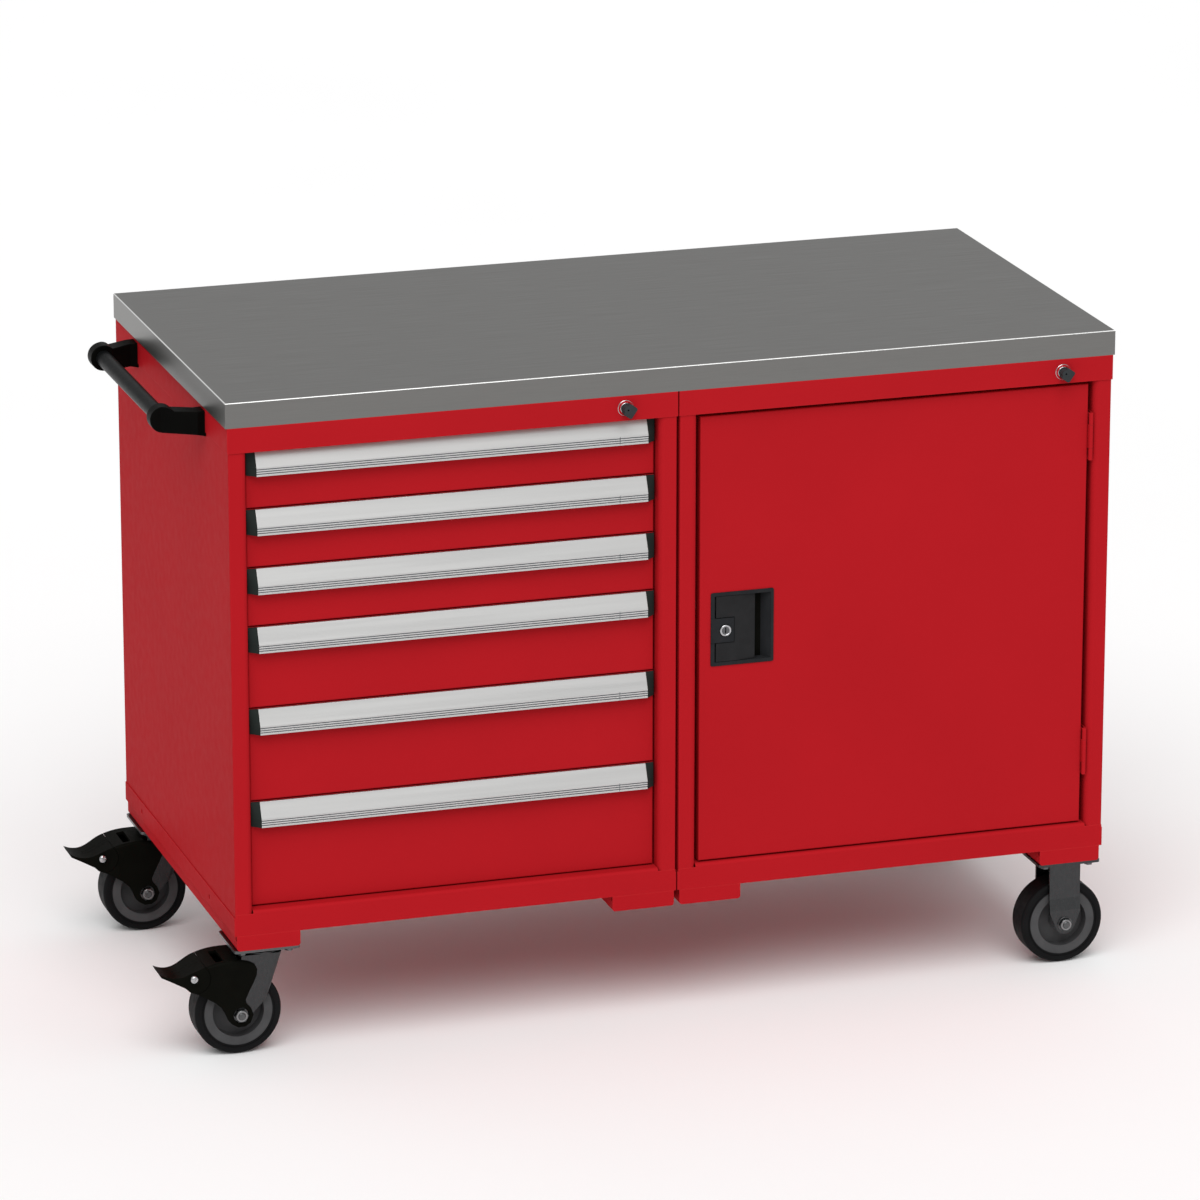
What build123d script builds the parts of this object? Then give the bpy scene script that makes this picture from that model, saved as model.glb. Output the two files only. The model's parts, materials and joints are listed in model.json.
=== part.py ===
from build123d import *
from math import hypot
import os

os.makedirs("parts", exist_ok=True)

# Overall sizes. x runs from the worktop's left end, y from its front edge, z from the floor.
BENCH_LENGTH = 1467.0
BENCH_DEPTH = 715.0
BENCH_HEIGHT = 1075.5
WORKTOP_THICKNESS = 40.5
WORKTOP_SHEET = 1.5
WORKTOP_LIP = 25.0
WORKTOP_EDGE_RADIUS = 2.0
PEDAL_REACH = 113.0
KEY_REACH = 15.0

# Cabinets
CABINET_LEFTS = (4.0, 736.0)
CABINET_WIDTH = 727.0
SHEET = 1.2
RAIL_SHEET = 1.5
CABINET_TOP = BENCH_HEIGHT - WORKTOP_THICKNESS
CAP_HEIGHT = 40.5
CAP_OVERHANG = 1.5
POST_WIDTH = 29.0
POST_DEPTH = 36.0
POST_INNER_BEND = 9.5
POST_OUTER_BEND = 2.5
POST_BACK_FLANGE = 22.0
SHEET_EDGE = 1.2
SHEET_GAP = 0.3
CABINET_BACK = 711.3
BASE_BOTTOM = 206.9
RAIL_TOP = 242.5
SILL = 247.5
SILL_BEND = 5.0
BASE_SIDE_TOP = 237.5
BASE_LIP = 25.0
SIDE_SLOTS = (160.0, 602.0)
SIDE_SLOT_Z = 221.0
SIDE_SLOT_RADIUS = 4.0
SHELF_TOP = 625.0
SHELF_FRONT = 60.0
SHELF_LIP = 22.0
SHELF_BEND = 3.0
SHELF_TURN = 8.0
SHELF_BACK_GAP = 5.0

# Channels under the cabinets and castors
CHANNEL_BOTTOM = 182.0
CHANNEL_WIDTH = 103.0
CHANNEL_SHEET = 2.0
CHANNEL_BEND = 5.0
CHANNEL_LEFTS = (6.0, 625.5, 738.0, 1356.5)
NOTCH_DEPTH = 7.0
NOTCH_HEIGHT = 9.0
PLATE_BOTTOM = 177.5
PLATE_LENGTH = 107.0
PLATE_WIDTH = 104.0
SWIVEL_X = 55.5
RIGID_X = 1409.5
FRONT_WHEEL_Y = 54.5
REAR_WHEEL_Y = 660.5
WHEEL_RADIUS = 70.5
WHEEL_WIDTH = 48.0
TYRE_SHOULDER = 6.0
HUB_RADIUS = 55.9
HUB_RIM = 41.7
HUB_LENGTH = 62.0
TRAIL = 41.5
AXLE_RADIUS = 6.0
WHEEL_FIT = 0.06
PLATE_CORNER = 6.0
BOLT_SPACING = 76.0
BOLT_HEAD_HEIGHT = 6.0
BOLT_HEAD_RADIUS = 7.0
BOLT_RADIUS = 4.0
FORK_GAP = 65.0
FORK_SHEET = 4.0
FORK_TOP = 168.0
FORK_BEND = 7.0
FORK_BACK = 17.5
FORK_FRONT = ((84.0, 168.0), (61.0, 98.0))
FORK_FOLD = 9.0
FORK_SLOT = 27.0
FORK_BOSS_RADIUS = 14.0
NUT_ACROSS_FLATS = 19.5
NUT_ROOM = 3.0
SWIVEL_NUT_FACE = 46.0
RIGID_NUT_FACE = 42.5
RIGID_LEG_WIDTH = 53.0
RIGID_TAPER_TOP = 91.0
RIGID_END_RADIUS = 17.0
RIGID_JOGGLE = (115.0, 93.0)
RIGID_INSET = 4.0
RIGID_JOGGLE_BEND = 14.0
RIGID_LEG_DROP = 25.0
RACE_RADIUS = 34.0
DISH_RADIUS = 37.0
KINGPIN_RADIUS = 7.0
KINGPIN_FIT = 0.08
FORK_HEAD_DEPTH = 24.0
FORK_FLOOR = 40.0
CASTOR_REACH = 200.0
CHEEK = 5.0
COVER_TOP = (
    (-113, 146.5), (-102.5, 141.5), (-90, 139), (-76, 141), (-62, 147.5),
    (-42, 156), (-21, 161), (0, 162.5), (18, 161.5), (30, 158),
)
COVER_BOTTOM = (
    (37.5, 153.5), (41, 146), (40, 135.7), (34.9, 123.7), (27.6, 109.9),
    (21.5, 96), (23, 89.5), (30.2, 81.2), (34, 70), (29, 57), (20, 51.5),
    (9, 51.2), (-1, 57), (-6.7, 63.3), (-10.7, 73.2), (-16.6, 85),
    (-26.6, 95), (-40.6, 103.9), (-52.7, 110.5), (-66.5, 115.5),
    (-73, 121.8), (-91.8, 131.6), (-110, 140.5),
)
COVER_CAVITY = (
    (-28, 90), (-28, 152), (-21, 156), (0, 158), (12, 158),
    (12, 180), (60, 180), (60, 40), (-10, 40),
)
COVER_PLAN_BREAK = -35.0
COVER_TIP_HALF = 22.5
COVER_EDGE = 5.0
COVER_SLOT_X = (-24.0, -11.0)
COVER_SLOT_SIDES = (-32.0, 20.0)
WHEEL_CLEARANCE = 3.5
PEDAL_PIVOT = (-60.5, 138.0)
PEDAL_PIN_RADIUS = 3.5
PEDAL_ROOT_RADIUS = 25.5
PEDAL_SEAM = 0.6
PEDAL_TONGUE = 5.0
SCREW_RADIUS = 6.0
SCREW_FACES = (37.2, 39.7)

# The origin is on the floor under the middle of the whole bench
ORIGIN = ((RIGID_X + WHEEL_RADIUS - PEDAL_REACH) / 2, (BENCH_DEPTH - KEY_REACH) / 2, 0)

# Drawers
DRAWER_PITCHES = (5, 5, 5, 7, 8, 9)
RASTER = 19.05
DRAWER_TOP = 992.5
DRAWER_GAP = 2.0
DRAWER_SIDE_GAP = 3.0
DRAWER_FRONT_Y = 20.5
FRONT_RETURN = 17.0
FRONT_BEND = 2.0
BOX_SIDE_GAP = 13.0
BOX_BACK = 690.0
BOX_DROP = 15.0
BOX_FLOOR_RISE = 8.0
SLIDE_RISE = 30.0
CHANNEL_HALF_HEIGHT = 17.0
CHANNEL_REACH = 10.5
RUNNER_HALF_HEIGHT = 12.0
RUNNER_GAP = 2.5
SLIDE_FRONT = 40.0
SLIDE_BACK = 700.0
SLIDE_BEND = 2.0
UPRIGHT_WIDTH = 26.0
UPRIGHT_POSITIONS = (80.0, 610.0)
HANDLE_END_GAP = 14.0
HANDLE_HEIGHT = 39.3
HANDLE_NOSE_Y = 5.3
HANDLE_SLOPE_DROP = 25.3
HANDLE_WALL = 2.2
HANDLE_FLANGE_DROP = 30.0
CAP_THIN = 2.5
GROOVE_DROPS = (28.2, 31.8, 35.4)
GROOVE_WIDTH = 1.6
GROOVE_DEPTH = 0.9
HANDLE_JOINT_X = 638.0
HANDLE_JOINT_WIDTH = 1.0

# Door, hinges and latch
DOOR_LEFT = 772.0
DOOR_RIGHT = 1426.5
DOOR_BOTTOM = 250.2
DOOR_TOP = 988.0
DOOR_FRONT = 8.5
DOOR_BACK = 28.5
DOOR_BEND = 2.0
DOOR_LIP = 22.0
HINGE_X = 1430.2
HINGE_Y = 4.0
HINGE_BOTTOMS = (332.0, 862.5)
KNUCKLE_HEIGHT = 78.0
KNUCKLE_RADIUS = 3.6
KNUCKLE_GAP = 0.4
LEAF = 1.5
PIN_RADIUS = 2.0
PIN_FIT = 0.08
LATCH_LEFT = 790.5
LATCH_RIGHT = 896.0
LATCH_BOTTOM = 575.0
LATCH_TOP = 696.5
LATCH_FRONT = 7.0
LATCH_DEPTH = 19.0
LATCH_LOCK_X = 814.7
LATCH_LOCK_Z = 633.6
LATCH_RIM = 3.4
LATCH_BOSS = (14.5, 20.0)
LATCH_FRAME = 6.5
BOLT_WIDTH = 16.0
BOLT_THICKNESS = 6.0
BOLT_PLAY = 0.4
PADDLE_GAP = 1.0
PADDLE_SHEET = 3.0
BOLT_TIP = 768.0
BOLT_GUIDE_X = 800.0
BOLT_Y = 29.0
BOLT_Z = 665.6
PADDLE_HINGE_X = 801.0
PADDLE_HINGE_Y = 11.0
PADDLE_RAMP = 834.0
PADDLE_RIGHT = 866.0
PADDLE_DROP = 5.0
RECESS_FLOOR_RIGHT = 879.5
RECESS_MOUTH_RIGHT = 891.0

# Top locks and push handle
LOCK_POSITIONS = ((645.5, 1015.1), (1378.5, 1013.7))
LOCK_RING_RADIUS = 13.0
KEY_BOW = (16.0, 20.0)
KEY_BOW_SHIFT = 5.0
KEY_HANG = 35.0
KEY_SHANK_RADIUS = 6.5
BARREL_RADIUS = 9.2
PLUG_RADIUS = 7.4
PLUG_CLEARANCE = 0.4
PUSH_BAR_X = -58.0
PUSH_BAR_Z = 1013.0
PUSH_BAR_RADIUS = 13.0
BRACKET_FOOT = (135.0, 165.0)
BRACKET_END = (159.0, 184.0)
BRACKET_END_RADIUS = 21.0
BRACKET_FOOT_Z = (987.8, 1028.5)
BRACKET_MIDDLE_Y = 366.0
BRACKET_HEEL = 12.0
BRACKET_DRAFT = (2.5, 1.5)
BRACKET_EDGE = 1.5
BRACKET_SHOULDER = (4.0, 14.0)


def block(x0, x1, y0, y1, z0, z1):
    return Pos((x0 + x1) / 2, (y0 + y1) / 2, (z0 + z1) / 2) * Box(x1 - x0, y1 - y0, z1 - z0)


def rod(axis, radius, centre, start, end):
    """Cylinder along an axis; centre holds the two other coordinates in x, y, z order."""
    middle = (start + end) / 2
    solid = Cylinder(radius, end - start)
    if axis == "x":
        return Pos(middle, centre[0], centre[1]) * Rot(0, 90, 0) * solid
    if axis == "y":
        return Pos(centre[0], middle, centre[1]) * Rot(90, 0, 0) * solid
    return Pos(centre[0], centre[1], middle) * solid


def prism(face, axis, start, end):
    """Face drawn flat in the two other axes, in x, y, z order, stretched along an axis."""
    if axis == "x":
        plane = Plane(origin=(start, 0, 0), x_dir=(0, 1, 0), z_dir=(1, 0, 0))
        return extrude(plane * face, end - start)
    if axis == "y":
        plane = Plane(origin=(0, start, 0), x_dir=(1, 0, 0), z_dir=(0, -1, 0))
        return extrude(plane * face, start - end)
    return extrude(Pos(0, 0, start) * face, end - start)


def outline(points):
    return make_face(Polyline(*points, close=True))


def offset_path(path, distance):
    """The same open path moved sideways, to the left of its direction."""
    normals = []
    for (a0, b0), (a1, b1) in zip(path, path[1:]):
        length = hypot(a1 - a0, b1 - b0)
        normals.append(((b0 - b1) / length, (a1 - a0) / length))
    moved = []
    for index, (a, b) in enumerate(path):
        before = normals[max(index - 1, 0)]
        after = normals[min(index, len(normals) - 1)]
        scale = distance / (1 + before[0] * after[0] + before[1] * after[1])
        moved.append((a + (before[0] + after[0]) * scale, b + (before[1] + after[1]) * scale))
    return moved


def bent_sheet(corners, thickness):
    """Section of a bent sheet; corners are (a, b, outer bend radius), metal on the path's left."""
    path = [(a, b) for a, b, _ in corners]
    inner = offset_path(path, thickness)
    face = outline(path + inner[::-1])
    for index, (a, b, radius) in enumerate(corners):
        if radius > 0:
            face = fillet(face.vertices().sort_by_distance((a, b, 0))[0], radius)
            inside = (inner[index][0], inner[index][1], 0)
            if radius > thickness:
                face = fillet(face.vertices().sort_by_distance(inside)[0], radius - thickness)
    return face


def mirrored(shape, x_middle):
    return mirror(shape, Plane(origin=(x_middle, 0, 0), z_dir=(1, 0, 0)))


def save(name, *shapes):
    """Writes one node, moved so that the origin is under the middle of the bench."""
    solids = [solid for shape in shapes for solid in shape.solids()]
    shift = Pos(-ORIGIN[0], -ORIGIN[1], -ORIGIN[2])
    moved = [shift * solid for solid in solids]
    export_step(moved[0] if len(moved) == 1 else Compound(children=moved), f"parts/{name}.step")


def worktop_core():
    inset = WORKTOP_SHEET
    return block(inset, BENCH_LENGTH - inset, inset, BENCH_DEPTH - inset,
                 CABINET_TOP + inset, BENCH_HEIGHT - inset)


def worktop_skin():
    """Sheet steel tray turned over the core, with a lip folded back underneath."""
    outer = block(0, BENCH_LENGTH, 0, BENCH_DEPTH, CABINET_TOP, BENCH_HEIGHT)
    outer = fillet(outer.edges().group_by(Axis.Z)[-1], WORKTOP_EDGE_RADIUS)
    mouth = block(WORKTOP_LIP, BENCH_LENGTH - WORKTOP_LIP, WORKTOP_LIP, BENCH_DEPTH - WORKTOP_LIP,
                  CABINET_TOP, CABINET_TOP + WORKTOP_SHEET)
    return outer - worktop_core() - mouth


def cabinet_side(left):
    """Left side of a cabinet: back flange, side wall and the hollow front post, bent from one sheet."""
    front = RAIL_SHEET
    section = bent_sheet((
        (left + POST_BACK_FLANGE, CABINET_BACK, 0),
        (left, CABINET_BACK, POST_OUTER_BEND),
        (left, front, POST_OUTER_BEND),
        (left + POST_WIDTH, front, POST_INNER_BEND),
        (left + POST_WIDTH, POST_DEPTH, POST_OUTER_BEND),
        (left + SHEET + 1, POST_DEPTH, 0),
    ), SHEET)
    side = prism(section, "z", BASE_BOTTOM + RAIL_SHEET, CABINET_TOP - RAIL_SHEET)
    return side - block(left - 1, left + POST_WIDTH + 1, 0, front + RAIL_SHEET, BASE_BOTTOM, RAIL_TOP)


def cabinet_cap(left, lock_position):
    right = left + CABINET_WIDTH
    out = CAP_OVERHANG
    bottom = CABINET_TOP - CAP_HEIGHT
    cap = block(left - out, right + out, 0, CABINET_BACK + 2 * out, bottom, CABINET_TOP)
    cap = fillet(cap.edges().filter_by(Axis.Z), SHEET_EDGE)
    cap -= block(left, right, out, CABINET_BACK + out, bottom, CABINET_TOP - RAIL_SHEET)
    lip = block(left + POST_WIDTH, right - POST_WIDTH, out, 20, bottom, bottom + RAIL_SHEET)
    return cap + lip - rod("y", BARREL_RADIUS, lock_position, -1, 4)


def cabinet_base(left):
    right = left + CABINET_WIDTH
    out = CAP_OVERHANG
    back = CABINET_BACK + 2 * out
    front = RAIL_SHEET
    ring = block(left - out, right + out, front, back, BASE_BOTTOM, BASE_SIDE_TOP)
    ring = fillet(ring.edges().filter_by(Axis.Z), SHEET_EDGE)
    ring -= block(left, right, front + RAIL_SHEET, back - out, BASE_BOTTOM + RAIL_SHEET, BASE_SIDE_TOP)
    ring -= block(left + BASE_LIP, right - BASE_LIP, BASE_LIP, back - BASE_LIP, BASE_BOTTOM, BASE_SIDE_TOP)
    rail = block(left, right, front, front + RAIL_SHEET, BASE_BOTTOM, RAIL_TOP)
    sill_section = bent_sheet((
        (front, BASE_SIDE_TOP, 0),
        (front, SILL, SILL_BEND),
        (CABINET_BACK, SILL, 0),
    ), -RAIL_SHEET)
    sill = prism(sill_section, "x", left + POST_WIDTH + SHEET_GAP, right - POST_WIDTH - SHEET_GAP)
    inner_left = left + SHEET + SHEET_GAP
    inner_right = right - SHEET - SHEET_GAP
    floor = block(inner_left, inner_right, POST_DEPTH + 2, CABINET_BACK - 2, SILL - RAIL_SHEET, SILL)
    slots = [rod("x", SIDE_SLOT_RADIUS, (y, SIDE_SLOT_Z), left - 2, left + 4) for y in SIDE_SLOTS]
    return ring + rail + sill + floor - slots


def cabinet_back(left):
    return block(left, left + CABINET_WIDTH, CABINET_BACK, CABINET_BACK + RAIL_SHEET,
                 BASE_BOTTOM + RAIL_SHEET, CABINET_TOP - RAIL_SHEET)


def cabinet_shelf():
    left = CABINET_LEFTS[1] + SHEET
    right = CABINET_LEFTS[1] + CABINET_WIDTH - SHEET
    section = bent_sheet((
        (SHELF_FRONT + SHEET, SHELF_TOP - SHELF_LIP, 0),
        (SHELF_FRONT, SHELF_TOP - SHELF_LIP + SHELF_TURN, 0),
        (SHELF_FRONT, SHELF_TOP, SHELF_BEND),
        (CABINET_BACK - SHELF_BACK_GAP, SHELF_TOP, SHELF_BEND),
        (CABINET_BACK - SHELF_BACK_GAP, SHELF_TOP - SHELF_LIP, 0),
    ), -SHEET)
    board = prism(section, "x", left, right)
    ribs = [block(x, x + SHEET, SHELF_FRONT + 6, CABINET_BACK - 8, SHELF_TOP - SHELF_LIP, SHELF_TOP)
            for x in (left, right - SHEET)]
    return board + ribs


def base_channel(left):
    """Open-topped channel with folded ends and a relief notch beside each front fold."""
    right = left + CHANNEL_WIDTH
    back = CABINET_BACK + CAP_OVERHANG
    sheet = CHANNEL_SHEET
    section = bent_sheet((
        (left, BASE_BOTTOM, 0),
        (left, CHANNEL_BOTTOM, CHANNEL_BEND),
        (right, CHANNEL_BOTTOM, CHANNEL_BEND),
        (right, BASE_BOTTOM, 0),
    ), sheet)
    end = outline([
        (left, CHANNEL_BOTTOM),
        (right, CHANNEL_BOTTOM),
        (right, BASE_BOTTOM),
        (left, BASE_BOTTOM),
    ])
    end = fillet(end.vertices().group_by(Axis.Y)[0], CHANNEL_BEND)
    front = RAIL_SHEET
    fold = front + sheet
    channel = prism(section, "y", front, back)
    channel += prism(end, "y", front, fold)
    channel += prism(end, "y", back - sheet, back)
    for x in (left, right - sheet):
        channel -= block(x, x + sheet, fold, fold + NOTCH_DEPTH, BASE_BOTTOM - NOTCH_HEIGHT, BASE_BOTTOM)
    return channel


def slide_upright(y):
    left = CABINET_LEFTS[0] + SHEET
    right = CABINET_LEFTS[0] + POST_WIDTH
    section = bent_sheet((
        (left, y, 0),
        (right, y, SLIDE_BEND),
        (right, y + UPRIGHT_WIDTH, SLIDE_BEND),
        (left, y + UPRIGHT_WIDTH, 0),
    ), SHEET)
    return prism(section, "z", SILL, DRAWER_TOP)


def slide_channel(z):
    left = CABINET_LEFTS[0] + POST_WIDTH
    reach = left + CHANNEL_REACH
    section = bent_sheet((
        (reach, z + CHANNEL_HALF_HEIGHT, 0),
        (left, z + CHANNEL_HALF_HEIGHT, SLIDE_BEND),
        (left, z - CHANNEL_HALF_HEIGHT, SLIDE_BEND),
        (reach, z - CHANNEL_HALF_HEIGHT, 0),
    ), SHEET)
    return prism(section, "y", SLIDE_FRONT, SLIDE_BACK)


def drawer_levels():
    """(bottom, top) of every drawer front, from the top drawer down."""
    levels = []
    top = DRAWER_TOP
    for pitch in DRAWER_PITCHES:
        height = pitch * RASTER
        gap = DRAWER_GAP if len(levels) < len(DRAWER_PITCHES) - 1 else 0
        levels.append((top - height + gap, top))
        top -= height
    return levels


def drawer_front(left, right, bottom, top):
    front = DRAWER_FRONT_Y
    back = front + FRONT_RETURN
    panel = block(left, right, front, back, bottom, top)
    panel = fillet(panel.edges().group_by(Axis.Y)[0], FRONT_BEND)
    return panel - block(left + SHEET, right - SHEET, front + SHEET, back, bottom + SHEET, top - SHEET)


def drawer_box(bottom, top, x_middle):
    """Folded front, open box and a slide runner on each side, as one welded drawer."""
    left = CABINET_LEFTS[0] + POST_WIDTH + DRAWER_SIDE_GAP
    right = 2 * x_middle - left
    front = DRAWER_FRONT_Y
    panel = drawer_front(left, right, bottom, top)
    box_left = left + BOX_SIDE_GAP - DRAWER_SIDE_GAP
    box_right = right - BOX_SIDE_GAP + DRAWER_SIDE_GAP
    floor = bottom + BOX_FLOOR_RISE
    box = block(box_left, box_right, front + SHEET, BOX_BACK, floor, top - BOX_DROP)
    box -= block(box_left + SHEET, box_right - SHEET, front + SHEET, BOX_BACK - SHEET, floor + SHEET, top)
    z = bottom + SLIDE_RISE
    runner_left = CABINET_LEFTS[0] + POST_WIDTH + RUNNER_GAP
    runner_section = bent_sheet((
        (box_left, z + RUNNER_HALF_HEIGHT, 0),
        (runner_left, z + RUNNER_HALF_HEIGHT, SLIDE_BEND),
        (runner_left, z - RUNNER_HALF_HEIGHT, SLIDE_BEND),
        (box_left, z - RUNNER_HALF_HEIGHT, 0),
    ), SHEET)
    runner = prism(runner_section, "y", SLIDE_FRONT + 2, BOX_BACK)
    return panel + box + runner + mirrored(runner, x_middle)


def handle_front(top):
    """Outer line of the handle section, from its top edge down."""
    return [
        (DRAWER_FRONT_Y, top),
        (DRAWER_FRONT_Y - 4, top),
        (HANDLE_NOSE_Y, top - HANDLE_SLOPE_DROP),
        (HANDLE_NOSE_Y, top - HANDLE_HEIGHT),
    ]


def drawer_handle(top, left, right):
    flange_y = DRAWER_FRONT_Y - HANDLE_WALL
    section = outline(handle_front(top) + [
        (HANDLE_NOSE_Y + HANDLE_WALL, top - HANDLE_HEIGHT),
        (HANDLE_NOSE_Y + HANDLE_WALL, top - HANDLE_SLOPE_DROP - 0.6),
        (flange_y, top - 3),
        (flange_y, top - HANDLE_FLANGE_DROP),
        (DRAWER_FRONT_Y, top - HANDLE_FLANGE_DROP),
    ])
    handle = prism(section, "x", left, right)
    for drop in GROOVE_DROPS:
        handle -= block(left, right, HANDLE_NOSE_Y - 1, HANDLE_NOSE_Y + GROOVE_DEPTH,
                        top - drop - GROOVE_WIDTH / 2, top - drop + GROOVE_WIDTH / 2)
    return handle - block(HANDLE_JOINT_X, HANDLE_JOINT_X + HANDLE_JOINT_WIDTH,
                          HANDLE_NOSE_Y - 1, HANDLE_NOSE_Y + GROOVE_DEPTH,
                          top - HANDLE_HEIGHT, top - HANDLE_SLOPE_DROP)


def drawer_end_cap(top, inner_x, outer_x):
    """Tapered cap closing one end of the handle, falling back to the drawer front's edge."""
    full = outline(handle_front(top) + [(DRAWER_FRONT_Y, top - HANDLE_HEIGHT)])
    thin_y = DRAWER_FRONT_Y - CAP_THIN
    thin = outline([
        (DRAWER_FRONT_Y, top),
        (DRAWER_FRONT_Y - 1.5, top),
        (thin_y, top - HANDLE_SLOPE_DROP),
        (thin_y, top - HANDLE_HEIGHT),
        (DRAWER_FRONT_Y, top - HANDLE_HEIGHT),
    ])
    planes = [Plane(origin=(x, 0, 0), x_dir=(0, 1, 0), z_dir=(1, 0, 0)) for x in (inner_x, outer_x)]
    return loft([planes[0] * full, planes[1] * thin], ruled=True)


def door_panel():
    door = block(DOOR_LEFT, DOOR_RIGHT, DOOR_FRONT, DOOR_BACK, DOOR_BOTTOM, DOOR_TOP)
    door = fillet(door.edges().group_by(Axis.Y)[0], DOOR_BEND)
    door -= block(DOOR_LEFT + SHEET, DOOR_RIGHT - SHEET, DOOR_FRONT + SHEET, DOOR_BACK - SHEET,
                  DOOR_BOTTOM + SHEET, DOOR_TOP - SHEET)
    door -= block(DOOR_LEFT + DOOR_LIP, DOOR_RIGHT - DOOR_LIP, DOOR_BACK - SHEET, DOOR_BACK,
                  DOOR_BOTTOM + DOOR_LIP, DOOR_TOP - DOOR_LIP)
    return door - block(LATCH_LEFT + 3, LATCH_RIGHT - 3, 0, DOOR_BACK, LATCH_BOTTOM + 3, LATCH_TOP - 3)


def knuckle(bottom, top, bore):
    centre = (HINGE_X, HINGE_Y)
    return rod("z", KNUCKLE_RADIUS, centre, bottom, top) - rod("z", bore, centre, bottom, top)


def hinge_frame_leaf(bottom):
    top = bottom + KNUCKLE_HEIGHT
    quarter = KNUCKLE_HEIGHT / 4
    wall = CABINET_LEFTS[1] + CABINET_WIDTH - POST_WIDTH
    leaf = block(wall - LEAF, wall, HINGE_Y + 7.5, POST_DEPTH - 3, bottom, top)
    lower = (bottom, bottom + quarter)
    upper = (top - quarter, top)
    web_left = HINGE_X + KNUCKLE_RADIUS - LEAF
    for z0, z1 in (lower, upper):
        web = block(web_left, web_left + LEAF, HINGE_Y, HINGE_Y + 9, z0, z1)
        foot = block(web_left, wall, HINGE_Y + 6.2, HINGE_Y + 9, z0, z1)
        leaf += web + foot + knuckle(z0, z1, PIN_RADIUS)
    return leaf + rod("z", PIN_RADIUS, (HINGE_X, HINGE_Y), bottom, top)


def hinge_door_leaf(bottom):
    top = bottom + KNUCKLE_HEIGHT
    quarter = KNUCKLE_HEIGHT / 4
    middle = (bottom + quarter + KNUCKLE_GAP, top - quarter - KNUCKLE_GAP)
    plate = block(DOOR_RIGHT, DOOR_RIGHT + LEAF, DOOR_FRONT + 2, DOOR_BACK, bottom, top)
    web = block(DOOR_RIGHT, DOOR_RIGHT + LEAF, HINGE_Y, DOOR_FRONT + 3, *middle)
    leaf = plate + web + knuckle(*middle, PIN_RADIUS + PIN_FIT)
    return leaf - rod("z", PIN_RADIUS + PIN_FIT, (HINGE_X, HINGE_Y), *middle)


def latch_body():
    """Moulded frame with the finger recess, before its bores are made."""
    front = LATCH_FRONT
    back = front + LATCH_DEPTH
    rim = LATCH_RIM
    body = block(LATCH_LEFT + rim, LATCH_RIGHT - rim, front, back, LATCH_BOTTOM + rim, LATCH_TOP - rim)
    flange = block(LATCH_LEFT, LATCH_RIGHT, front, DOOR_FRONT, LATCH_BOTTOM, LATCH_TOP)
    body += fillet(flange.edges().filter_by(Axis.Y), 3)
    pocket = outline([
        (LATCH_LEFT + LATCH_FRAME, front - 1),
        (RECESS_MOUTH_RIGHT, front - 1),
        (RECESS_MOUTH_RIGHT, front + 1),
        (RECESS_FLOOR_RIGHT, back - 2),
        (LATCH_LEFT + LATCH_FRAME, back - 2),
    ])
    body -= prism(pocket, "z", LATCH_BOTTOM + 6, LATCH_TOP - 6)
    reach, half = LATCH_BOSS
    bottom = LATCH_LOCK_Z - half
    top = LATCH_LOCK_Z + half
    body += block(LATCH_LEFT, LATCH_LOCK_X + reach, front - 0.8, DOOR_FRONT, bottom, top)
    return body + block(LATCH_LEFT + rim, LATCH_LOCK_X + reach, DOOR_FRONT, back, bottom, top)


def bolt_space(left, right, play):
    """Room taken by the sliding bolt, grown by some play all round."""
    return block(left, right, BOLT_Y - play, BOLT_Y + BOLT_THICKNESS + play,
                 BOLT_Z - play, BOLT_Z + BOLT_WIDTH + play)


def latch_housing():
    body = latch_body()
    back = LATCH_FRONT + LATCH_DEPTH
    for z0 in (LATCH_BOTTOM + 4, LATCH_TOP - 8):
        body -= rod("z", PIN_RADIUS + PIN_FIT, (PADDLE_HINGE_X, PADDLE_HINGE_Y), z0, z0 + 4)
    guide_right = BOLT_GUIDE_X + 14
    body += block(BOLT_GUIDE_X, guide_right, back, BOLT_Y + 9, BOLT_Z - 3, BOLT_Z + BOLT_WIDTH + 3)
    body -= bolt_space(BOLT_GUIDE_X, guide_right, BOLT_PLAY)
    bore = PLUG_RADIUS + 2 + PLUG_CLEARANCE
    return body - rod("y", bore, (LATCH_LOCK_X, LATCH_LOCK_Z), LATCH_FRONT - 2, back)


def latch_paddle():
    front = LATCH_FRONT + 0.4
    section = bent_sheet((
        (PADDLE_RIGHT, front + PADDLE_DROP, 0),
        (PADDLE_RAMP, front, 0),
        (LATCH_LEFT + 9, front, 0),
    ), -PADDLE_SHEET)
    plate = prism(section, "z", LATCH_BOTTOM + 6.6, LATCH_TOP - 6.6)
    reach, half = LATCH_BOSS
    plate -= block(LATCH_LEFT, LATCH_LOCK_X + reach + PADDLE_GAP, 0, 20,
                   LATCH_LOCK_Z - half - PADDLE_GAP, LATCH_LOCK_Z + half + PADDLE_GAP)
    pivots = [rod("z", PIN_RADIUS, (PADDLE_HINGE_X, PADDLE_HINGE_Y), z0, z0 + 25)
              for z0 in (LATCH_BOTTOM + 4.5, LATCH_TOP - 29.5)]
    return plate + pivots


def latch_bolt():
    return bolt_space(BOLT_TIP, BOLT_GUIDE_X + 26, 0)


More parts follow.
